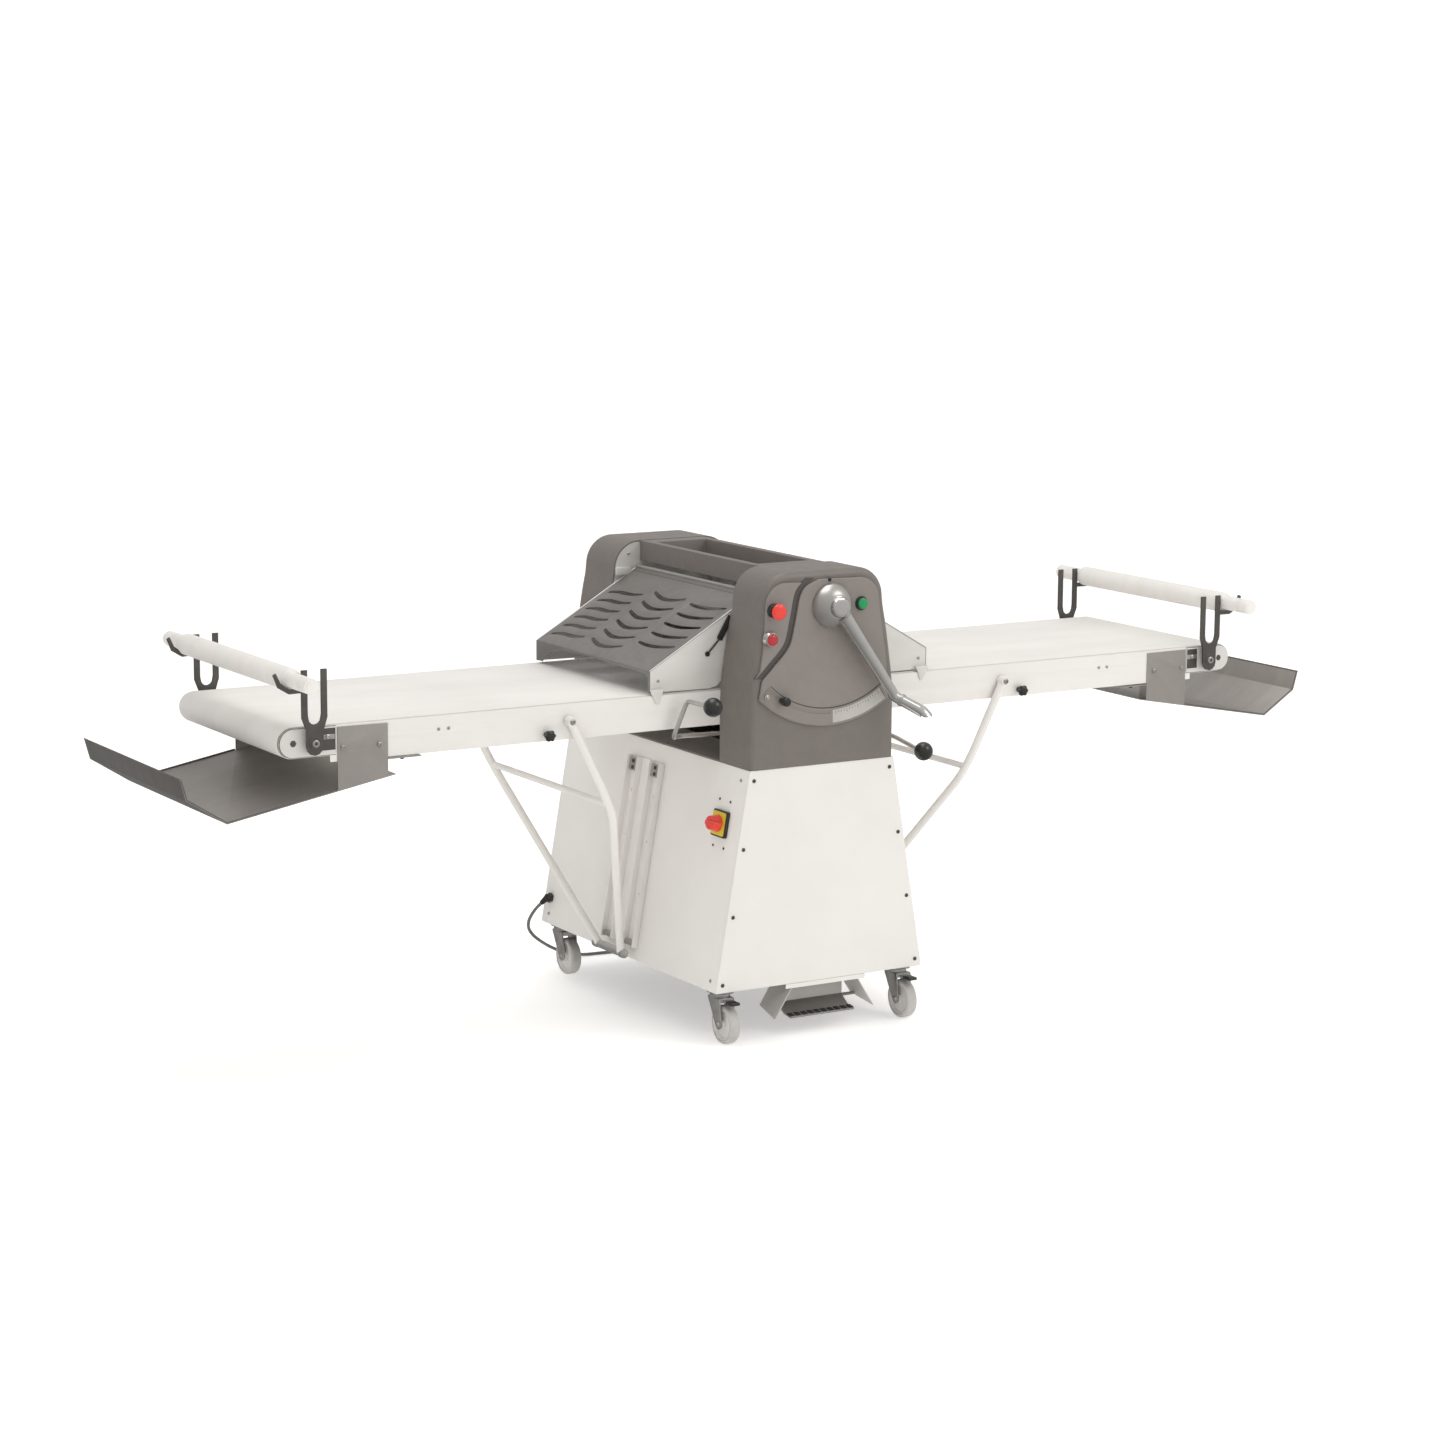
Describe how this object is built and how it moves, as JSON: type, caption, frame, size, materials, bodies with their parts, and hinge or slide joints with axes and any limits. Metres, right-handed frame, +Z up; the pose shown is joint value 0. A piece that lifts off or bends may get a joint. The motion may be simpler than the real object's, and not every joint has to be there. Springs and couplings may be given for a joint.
{
  "type": "floor-standing dough sheeter",
  "caption": "Floor-standing dough sheeter: tapered cabinet on casters, sheeting head with slotted guards, thickness lever and folding conveyor tables with trays and pins.",
  "frame": {"origin": "centre of the footprint box on the floor, free cord left out", "axes": "+X along the conveyor tables, -Y towards the operator at the control face, +Z up"},
  "size_m": [3.37, 1.2528, 1.2],
  "materials": {
    "white_coat": "satin white powder coat",
    "grey_coat": "satin warm grey powder coat",
    "dark_metal": "dark oxide finish",
    "steel": "brushed zinc-plated steel",
    "roll_chrome": "polished hard chrome",
    "cast_alloy": "polished cast aluminium",
    "belt_cloth": "coated woven conveyor cloth",
    "nylon": "white nylon",
    "black_plastic": "black phenolic",
    "red_plastic": "red moulded plastic",
    "green_plastic": "green moulded plastic",
    "yellow_plastic": "yellow moulded plastic",
    "wheel_tread": "grey non-marking tread",
    "cable_sheath": "grey cable sheath"
  },
  "bodies": {
    "machine": {"cabinet_shell": "white_coat", "front_panel": "white_coat", "base_frame": "dark_metal", "top_deck": "grey_coat", "front_cheek": "grey_coat", "rear_cheek": "grey_coat", "control_fascia": "grey_coat", "flour_trough": "grey_coat", "gear_motor": "dark_metal", "drive_chain": "dark_metal", "left_guide_rails": "white_coat", "right_guide_rails": "white_coat", "cable_gland": "black_plastic", "power_cord": "cable_sheath", "cord_coil": "cable_sheath", "mains_plug": "black_plastic", "switch_plate": "yellow_plastic", "pilot_lamp": "red_plastic", "pedal_housing": "steel"},
    "carriage": {"roll_carriage": "steel", "roll_scraper": "steel"},
    "upper_roll": {"upper_roll": "roll_chrome"},
    "lower_roll": {"lower_roll": "roll_chrome"},
    "thickness_lever": {"thickness_lever": "cast_alloy"},
    "stop_knob": {"stop_knob": "black_plastic"},
    "stop_button": {"stop_button": "red_plastic"},
    "start_button": {"start_button": "green_plastic"},
    "switch_knob": {"switch_knob": "red_plastic"},
    "reversing_lever": {"reversing_lever": "black_plastic"},
    "foot_pedal": {"foot_pedal": "dark_metal"},
    "left_table": {"left_table_frame": "white_coat", "left_belt": "belt_cloth", "left_front_fork": "dark_metal", "left_rear_fork": "dark_metal", "left_tray": "grey_coat"},
    "left_drive_roller": {"left_drive_roller": "steel"},
    "left_end_roller": {"left_end_roller": "steel"},
    "left_rolling_pin": {"left_rolling_pin": "nylon"},
    "left_support": {"left_support": "white_coat"},
    "left_lock_knob": {"left_lock_knob": "black_plastic"},
    "left_guard": {"left_guard": "grey_coat"},
    "right_table": {"right_table_frame": "white_coat", "right_belt": "belt_cloth", "right_front_fork": "dark_metal", "right_rear_fork": "dark_metal", "right_tray": "grey_coat"},
    "right_drive_roller": {"right_drive_roller": "steel"},
    "right_end_roller": {"right_end_roller": "steel"},
    "right_rolling_pin": {"right_rolling_pin": "nylon"},
    "right_support": {"right_support": "white_coat"},
    "right_lock_knob": {"right_lock_knob": "black_plastic"},
    "right_guard": {"right_guard": "grey_coat"},
    "front_left_swivel": {"front_left_caster_fork": "steel"},
    "front_left_wheel": {"front_left_wheel": "wheel_tread"},
    "front_right_swivel": {"front_right_caster_fork": "steel"},
    "front_right_wheel": {"front_right_wheel": "wheel_tread"},
    "rear_left_swivel": {"rear_left_caster_fork": "steel"},
    "rear_left_wheel": {"rear_left_wheel": "wheel_tread"},
    "rear_right_swivel": {"rear_right_caster_fork": "steel"},
    "rear_right_wheel": {"rear_right_wheel": "wheel_tread"}
  },
  "joints": [
    {"name": "lower_roll_spin", "type": "hinge", "parent": "machine", "child": "lower_roll", "pos_m": [0, 0.0511, 0.855], "axis": [0, 1, 0], "continuous": true},
    {"name": "thickness_lever_turn", "type": "hinge", "parent": "machine", "child": "thickness_lever", "pos_m": [0.016, -0.4169, 1.11], "axis": [0, 1, 0], "range_deg": [0, 60]},
    {"name": "roll_carriage_lift", "type": "slide", "parent": "machine", "child": "carriage", "axis": [0, 0, 1], "range_m": [0, 0.033]},
    {"name": "upper_roll_spin", "type": "hinge", "parent": "carriage", "child": "upper_roll", "pos_m": [0, 0.0511, 0.939], "axis": [0, 1, 0], "continuous": true},
    {"name": "stop_knob_slide", "type": "hinge", "parent": "machine", "child": "stop_knob", "pos_m": [0.012, -0.4169, 1.11], "axis": [0, 1, 0], "range_deg": [-29, 10]},
    {"name": "stop_button_press", "type": "slide", "parent": "machine", "child": "stop_button", "axis": [0, 1, 0], "range_m": [0, 0.005], "stiffness_N_per_m": 300, "springref_m": -0.006},
    {"name": "start_button_press", "type": "slide", "parent": "machine", "child": "start_button", "axis": [0, 1, 0], "range_m": [0, 0.0035], "stiffness_N_per_m": 300, "springref_m": -0.004},
    {"name": "mains_switch_turn", "type": "hinge", "parent": "machine", "child": "switch_knob", "pos_m": [-0.24188, -0.3139, 0.555], "axis": [-0.9858, 0, 0.1681], "range_deg": [-90, 0]},
    {"name": "belt_reversing", "type": "hinge", "parent": "machine", "child": "reversing_lever", "pos_m": [0, -0.2389, 0.768], "axis": [0, 1, 0], "range_deg": [-11, 0]},
    {"name": "pedal_press", "type": "hinge", "parent": "machine", "child": "foot_pedal", "pos_m": [0, -0.3409, 0.07], "axis": [1, 0, 0], "range_deg": [0, 9], "stiffness_Nm_per_rad": 3, "springref_deg": -28.65},
    {"name": "left_table_fold", "type": "hinge", "parent": "machine", "child": "left_table", "pos_m": [-0.14, 0.0511, 0.853], "axis": [0, 1, 0], "range_deg": [0, 70]},
    {"name": "left_guard_open", "type": "hinge", "parent": "machine", "child": "left_guard", "pos_m": [-0.108, 0.0511, 1.1305], "axis": [0, 1, 0], "range_deg": [0, 118]},
    {"name": "left_support_swing", "type": "hinge", "parent": "left_table", "child": "left_support", "pos_m": [-0.656, 0.0511, 0.847], "axis": [0, 1, 0], "range_deg": [-48, 0]},
    {"name": "left_drive_roller_spin", "type": "hinge", "parent": "left_table", "child": "left_drive_roller", "pos_m": [-0.14, 0.0511, 0.853], "axis": [0, 1, 0], "continuous": true},
    {"name": "left_end_roller_spin", "type": "hinge", "parent": "left_table", "child": "left_end_roller", "pos_m": [-1.397, 0.0511, 0.853], "axis": [0, 1, 0], "continuous": true},
    {"name": "left_rolling_pin_lift", "type": "slide", "parent": "left_table", "child": "left_rolling_pin", "axis": [0, 0, 1], "range_m": [0, 0.08]},
    {"name": "left_lock_knob_turn", "type": "hinge", "parent": "left_table", "child": "left_lock_knob", "pos_m": [-0.717, -0.2579, 0.8165], "axis": [0, 1, 0], "range_deg": [-180, 180]},
    {"name": "right_table_fold", "type": "hinge", "parent": "machine", "child": "right_table", "pos_m": [0.14, 0.0511, 0.853], "axis": [0, -1, 0], "range_deg": [0, 70]},
    {"name": "right_guard_open", "type": "hinge", "parent": "machine", "child": "right_guard", "pos_m": [0.108, 0.0511, 1.1305], "axis": [0, -1, 0], "range_deg": [0, 118]},
    {"name": "right_support_swing", "type": "hinge", "parent": "right_table", "child": "right_support", "pos_m": [0.656, 0.0511, 0.847], "axis": [0, -1, 0], "range_deg": [-48, 0]},
    {"name": "right_drive_roller_spin", "type": "hinge", "parent": "right_table", "child": "right_drive_roller", "pos_m": [0.14, 0.0511, 0.853], "axis": [0, 1, 0], "continuous": true},
    {"name": "right_end_roller_spin", "type": "hinge", "parent": "right_table", "child": "right_end_roller", "pos_m": [1.397, 0.0511, 0.853], "axis": [0, 1, 0], "continuous": true},
    {"name": "right_rolling_pin_lift", "type": "slide", "parent": "right_table", "child": "right_rolling_pin", "axis": [0, 0, 1], "range_m": [0, 0.08]},
    {"name": "right_lock_knob_turn", "type": "hinge", "parent": "right_table", "child": "right_lock_knob", "pos_m": [0.717, -0.2579, 0.8165], "axis": [0, 1, 0], "range_deg": [-180, 180]},
    {"name": "front_left_swivel_turn", "type": "hinge", "parent": "machine", "child": "front_left_swivel", "pos_m": [-0.27, -0.3569, 0.13], "axis": [0, 0, 1], "continuous": true},
    {"name": "front_left_wheel_roll", "type": "hinge", "parent": "front_left_swivel", "child": "front_left_wheel", "pos_m": [-0.27, -0.3869, 0.05], "axis": [1, 0, 0], "continuous": true},
    {"name": "front_right_swivel_turn", "type": "hinge", "parent": "machine", "child": "front_right_swivel", "pos_m": [0.27, -0.3569, 0.13], "axis": [0, 0, 1], "continuous": true},
    {"name": "front_right_wheel_roll", "type": "hinge", "parent": "front_right_swivel", "child": "front_right_wheel", "pos_m": [0.27, -0.3869, 0.05], "axis": [1, 0, 0], "continuous": true},
    {"name": "rear_left_swivel_turn", "type": "hinge", "parent": "machine", "child": "rear_left_swivel", "pos_m": [-0.27, 0.4831, 0.13], "axis": [0, 0, 1], "continuous": true},
    {"name": "rear_left_wheel_roll", "type": "hinge", "parent": "rear_left_swivel", "child": "rear_left_wheel", "pos_m": [-0.27, 0.4531, 0.05], "axis": [1, 0, 0], "continuous": true},
    {"name": "rear_right_swivel_turn", "type": "hinge", "parent": "machine", "child": "rear_right_swivel", "pos_m": [0.27, 0.4831, 0.13], "axis": [0, 0, 1], "continuous": true},
    {"name": "rear_right_wheel_roll", "type": "hinge", "parent": "rear_right_swivel", "child": "rear_right_wheel", "pos_m": [0.27, 0.4531, 0.05], "axis": [1, 0, 0], "continuous": true}
  ],
  "couplings": [
    {"joint": "roll_carriage_lift", "follows": "thickness_lever_turn", "m_per_rad": 0.0315},
    {"joint": "upper_roll_spin", "follows": "lower_roll_spin", "ratio": -1},
    {"joint": "left_guard_open", "follows": "left_table_fold", "ratio": 1.68},
    {"joint": "left_support_swing", "follows": "left_table_fold", "ratio": -0.68},
    {"joint": "left_drive_roller_spin", "follows": "lower_roll_spin", "ratio": 1},
    {"joint": "left_end_roller_spin", "follows": "lower_roll_spin", "ratio": 1},
    {"joint": "right_guard_open", "follows": "right_table_fold", "ratio": 1.68},
    {"joint": "right_support_swing", "follows": "right_table_fold", "ratio": -0.68},
    {"joint": "right_drive_roller_spin", "follows": "lower_roll_spin", "ratio": 1},
    {"joint": "right_end_roller_spin", "follows": "lower_roll_spin", "ratio": 1}
  ]
}
